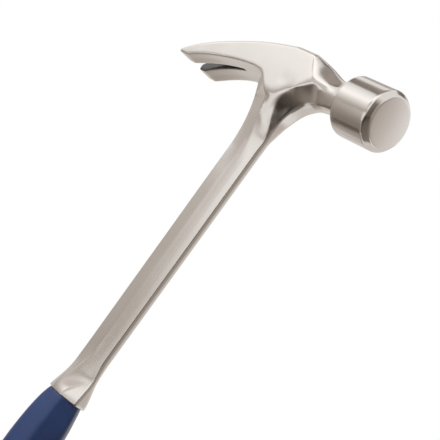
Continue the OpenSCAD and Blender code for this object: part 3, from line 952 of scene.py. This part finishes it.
def floor_material():
    """Pale floor, lit in part near the hammer so that it keeps the shadow, and plain white further out."""
    m = material_nodes("floor_white")
    lit = m.add("ShaderNodeBsdfPrincipled", {
        "Base Color": (FLOOR_GREY, FLOOR_GREY, FLOOR_GREY, 1), "Roughness": 0.9, "Specular IOR Level": 0.0,
    })
    coordinates = m.add("ShaderNodeTexCoord")
    distance = m.add("ShaderNodeVectorMath", operation="LENGTH")
    m.join(coordinates, "Object", distance, 0)
    fade = m.add("ShaderNodeMapRange", FLOOR_FADE, interpolation_type="SMOOTHSTEP")
    m.join(distance, "Value", fade, "Value")
    share = m.add("ShaderNodeMath", operation="MULTIPLY")
    m.join(m.background_rays(), 0, share, 0)
    m.join(fade, "Result", share, 1)
    white = m.add("ShaderNodeEmission", {"Color": (1, 1, 1, 1), "Strength": 1.0})
    blend = m.add("ShaderNodeMixShader")
    m.join(share, 0, blend, 0)
    m.join(lit, "BSDF", blend, 1)
    m.join(white, "Emission", blend, 2)
    m.join(blend, "Shader", m.out, "Surface")
    return m.owner


def show_sheet(name, places, faces, material):
    """Sheet of the stage, from places in metres."""
    mesh = bpy.data.meshes.new(name)
    mesh.from_pydata(places, [], faces)
    mesh.materials.append(material)
    sheet = bpy.data.objects.new(name, mesh)
    bpy.context.scene.collection.objects.link(sheet)
    return sheet


floor_corners = [(x * FLOOR_HALF, y * FLOOR_HALF, 0) for x, y in ((-1, -1), (1, -1), (1, 1), (-1, 1))]
show_sheet("floor", floor_corners, [(0, 1, 2, 3)], floor_material())

# Studio screens round the hammer, which only its reflections show. Each runs between two azimuths, with its
# lowest and highest elevation there and how bright it is beside white at these two
HUB = Vector((0.0, 0.0, 0.34))
SCREEN_REACH = 1.3
SCREEN_STEPS = 12
FLOOR_GAP = 0.004
WARMTH = [(0.2, (1.0, 0.875, 0.765)), (1.0, (1.0, 1.0, 1.0))]
SCREENS = {
    "key_left_low": [(-152, 5, 10, 0.80, 0.92), (-128, 3, 10, 0.92, 1.10)],
    "key_left": [(-152, 10, 15, 0.92, 1.25), (-128, 10, 15, 1.10, 1.38)],
    "key_left_top": [(-152, 15, 20, 1.25, 1.30), (-128, 15, 20, 1.38, 1.50)],
    "key_left_high": [(-152, 20, 39, 1.30, 0.95), (-128, 20, 43, 1.50, 1.10)],
    "key_low": [(-128, 3, 20, 0.92, 1.50), (-121, 3, 20, 0.76, 0.90)],
    "key_notch": [(-121, 3, 26, 0.76, 0.62), (-94, 4, 26, 0.84, 0.64)],
    "key_rise": [(-94, 4, 26, 0.84, 0.64), (-84, 4, 26, 1.15, 1.15)],
    "key_right": [(-84, 4, 26, 1.15, 1.15), (-74, 4, 24, 1.20, 1.32)],
    "key_high": [(-128, 20, 43, 1.50, 1.40), (-121, 20, 45, 1.50, 1.40)],
    "key_high_right": [(-121, 26, 45, 1.50, 1.40), (-74, 24, 63, 1.45, 1.40)],
    "key_end": [(-74, -3, 63, 1.00, 1.38), (-60, -3, 50, 1.00, 1.20)],
    "stripe_gap": [(-184, 41, 50, 0.18, 0.20), (-130, 45, 52, 0.17, 0.40)],
    "ceiling_left": [(-184, 50, 74, 0.40, 0.36), (-130, 52, 74, 0.42, 0.42)],
    "ceiling_gap": [(-130, 47, 74, 0.42, 0.45), (-90, 62, 76, 0.20, 0.25)],
    "ceiling_top": [(-200, 74, 88, 0.18, 0.18), (-90, 76, 88, 0.16, 0.16)],
    "ceiling_far": [(82, 46, 70, 0.12, 0.15), (112, 42, 66, 0.20, 0.25)],
    "ceiling_edge": [(112, 22, 40, 0.78, 0.50), (150, 22, 38, 0.78, 0.50)],
    "ceiling_back": [(112, 40, 64, 0.40, 0.40), (150, 38, 62, 0.40, 0.40)],
    "camera_side": [(-60, -14, 26, 0.11, 0.14), (-42, -14, 26, 0.11, 0.22)],
    "front_line": [(-42, -14, 26, 0.38, 0.45), (-20, -14, 26, 0.38, 0.45)],
    "camera_side_high": [(-60, 26, 42, 0.20, 0.90), (-30, 26, 42, 0.35, 0.90)],
    "right_side": [(-20, -14, 26, 0.38, 0.50), (26, -14, 26, 0.34, 0.40)],
    "side_wall": [(26, -14, 34, 0.34, 0.40), (60, -14, 34, 0.84, 1.20)],
    "far_wall": [(60, -50, 8, 0.78, 0.80), (120, -50, 8, 0.74, 0.80)],
    "far_wall_low": [(120, -40, -26, 0.52, 0.70), (137, -40, -26, 0.42, 0.62)],
    "far_wall_high": [(120, -26, 8, 0.74, 0.80), (137, -26, 8, 0.74, 0.80)],
    "bench_front_far": [(-92, -80, -36, 0.50, 0.12), (-68, -80, -36, 0.22, 0.05)],
    "bench_front": [(-68, -80, -36, 0.22, 0.05), (-46, -80, -30, 0.16, 0.05)],
    "bench_edge_left": [(-104, -36, -24, 0.45, 1.10), (-92, -36, -24, 0.12, 1.10)],
    "bench_edge": [(-92, -36, -24, 0.12, 1.10), (-78, -36, -24, 0.12, 0.90)],
    "bench_edge_right": [(-78, -36, -24, 0.12, 0.90), (-68, -36, -24, 0.05, 0.10)],
    "bench_front_left": [(-104, -24, -13, 1.10, 1.10), (-80, -24, -13, 1.05, 1.10)],
    "bench_front_right": [(-80, -24, -11, 1.05, 1.10), (-76, -24, -11, 0.85, 1.10)],
    "bench_corner": [(-76, -24, -11, 0.85, 1.10), (-68, -24, -11, 0.10, 0.90)],
    "bench_front_high": [(-68, -36, -20, 0.02, 0.05), (-46, -30, -18, 0.02, 0.03)],
    "bench_front_top": [(-68, -20, -11, 0.05, 0.90), (-46, -18, -11, 0.03, 0.20)],
    "bench_middle": [(-46, -80, -12, 0.15, 0.16), (28, -80, -12, 0.20, 0.35)],
    "bench_right": [(28, -80, -34, 0.12, 0.20), (45, -80, -34, 0.18, 0.30)],
    "bench_left": [(-130, -80, -36, 0.42, 0.45), (-92, -80, -36, 0.10, 0.45)],
    "low_wall": [(-130, -11, 3, 0.40, 0.90), (-96, -11, 4, 0.38, 0.92)],
    "low_wall_foot": [(-96, -13, -7, 0.44, 0.46), (-80, -13, -7, 0.50, 0.46)],
    "low_wall_middle": [(-96, -7, 4, 0.58, 0.78), (-85, -7, 4, 0.58, 1.08)],
    "low_wall_edge": [(-85, -7, 4, 0.58, 1.08), (-80, -7, 4, 0.48, 1.22)],
    "low_wall_front": [(-80, -11, 4, 0.60, 1.22), (-60, -11, 4, 0.55, 1.10)],
    "left_bench": [(-166, -80, -46, 0.38, 0.28), (-130, -80, -46, 0.40, 0.28)],
    "left_bench_low": [(-166, -46, -32, 0.26, 0.36), (-130, -46, -32, 0.28, 0.38)],
    "left_bench_high": [(-166, -32, -11, 0.36, 0.50), (-130, -32, -11, 0.38, 0.52)],
    "left_line": [(-184, -62, -46, 0.20, 0.05), (-166, -62, -46, 0.20, 0.05)],
    "left_wall": [(-184, -11, 5, 0.58, 0.54), (-130, -11, 5, 0.42, 0.90)],
    "left_far_wall": [(-184, -46, -11, 0.40, 0.47), (-166, -46, -11, 0.30, 0.47)],
    "far_left_bench": [(120, -80, -40, 0.40, 0.42), (172, -80, -40, 0.40, 0.42)],
    "far_left_wall": [(137, -40, 5, 0.76, 0.62), (176, -40, 5, 0.66, 0.62)],
}


def screen_material(name):
    """Light of the strength that the level says, warmer where it is dim."""
    m = material_nodes(name)
    level = m.add("ShaderNodeAttribute", attribute_name="level")
    shine = m.add("ShaderNodeEmission")
    m.join(level, "Fac", shine, "Strength")
    m.join(m.ramp(level, "Fac", WARMTH), "Color", shine, "Color")
    m.join(shine, "Emission", m.out, "Surface")
    return m.owner


def screen(name, start, end):
    """Patch of a sphere round the hub, held just over the floor, with a level at each of its points."""
    points, levels = [], []
    for i in range(SCREEN_STEPS + 1):
        azimuth, low, high, dim, bright = (mix(a, b, i / SCREEN_STEPS) for a, b in zip(start, end))
        for j in range(SCREEN_STEPS + 1):
            az, el = math.radians(azimuth), math.radians(mix(low, high, j / SCREEN_STEPS))
            reach = SCREEN_REACH
            if el < 0:
                reach = min(reach, (HUB.z - FLOOR_GAP) / math.sin(-el))
            direction = Vector((math.cos(az) * math.cos(el), math.sin(az) * math.cos(el), math.sin(el)))
            points.append(HUB + direction * reach)
            levels.append(mix(dim, bright, j / SCREEN_STEPS))
    n = SCREEN_STEPS + 1
    corners = [i * n + j for i in range(SCREEN_STEPS) for j in range(SCREEN_STEPS)]
    sheet = show_sheet(name, points, [(c, c + 1, c + n + 1, c + n) for c in corners], screen_material(name))
    point_values(sheet, "level", levels)
    sheet.visible_camera = False
    sheet.visible_diffuse = False
    sheet.visible_shadow = False


for name, (start, end) in SCREENS.items():
    screen(name, start, end)

# World: white where it is seen, dim where it lights surfaces

WORLD_LIGHT = 0.2

world = bpy.data.worlds.new("studio")
bpy.context.scene.world = world
sky = Nodes(world, "ShaderNodeOutputWorld")
strength = sky.add("ShaderNodeMapRange", {"To Min": WORLD_LIGHT, "To Max": 1.0})
sky.join(sky.background_rays(), 0, strength, "Value")
glow = sky.add("ShaderNodeBackground", {"Color": (1, 1, 1, 1)})
sky.join(strength, "Result", glow, "Strength")
sky.join(glow, "Background", sky.out, "Surface")

# Lamps

LAMP_AIM = Vector((0, 0, 0.3))


def lamp(name, direction, distance, size, radiance):
    """Soft rectangular lamp that lights surfaces, and that neither the camera nor reflections show."""
    data = bpy.data.lights.new(name, "AREA")
    data.shape = "RECTANGLE"
    data.size, data.size_y = size
    data.energy = radiance * math.pi * size[0] * size[1]
    light = bpy.data.objects.new(name, data)
    offset = Vector(direction).normalized() * distance
    light.location = LAMP_AIM + offset
    light.rotation_euler = offset.to_track_quat("Z", "Y").to_euler()
    light.visible_camera = False
    light.visible_glossy = False
    bpy.context.scene.collection.objects.link(light)


lamp("key", direction=(-0.334, -0.826, 0.454), distance=1.15, size=(1.7, 1.0), radiance=2.6)
lamp("overhead", direction=(0.2, 0.1, 1.0), distance=1.2, size=(0.8, 0.8), radiance=0.6)

# Camera at the photograph's viewing angle, which was worked out from the two rims of the poll

CAMERA_LENS = 102.96
CAMERA_PLACE = Vector((0.4663, -0.4446, 0.2709))
CAMERA_RIGHT = Vector((0.5928, 0.5531, 0.5854))
CAMERA_UP = Vector((-0.3785, -0.4503, 0.8087))

camera_data = bpy.data.cameras.new("camera")
camera_data.sensor_width = 36
camera_data.lens = CAMERA_LENS
camera_data.clip_start = 0.01
camera = bpy.data.objects.new("camera", camera_data)
bpy.context.scene.collection.objects.link(camera)
turn = Matrix((CAMERA_RIGHT, CAMERA_UP, CAMERA_RIGHT.cross(CAMERA_UP))).transposed()
camera.matrix_world = Matrix.Translation(CAMERA_PLACE) @ turn.to_4x4()
bpy.context.scene.camera = camera
bpy.context.scene.view_settings.view_transform = "Standard"
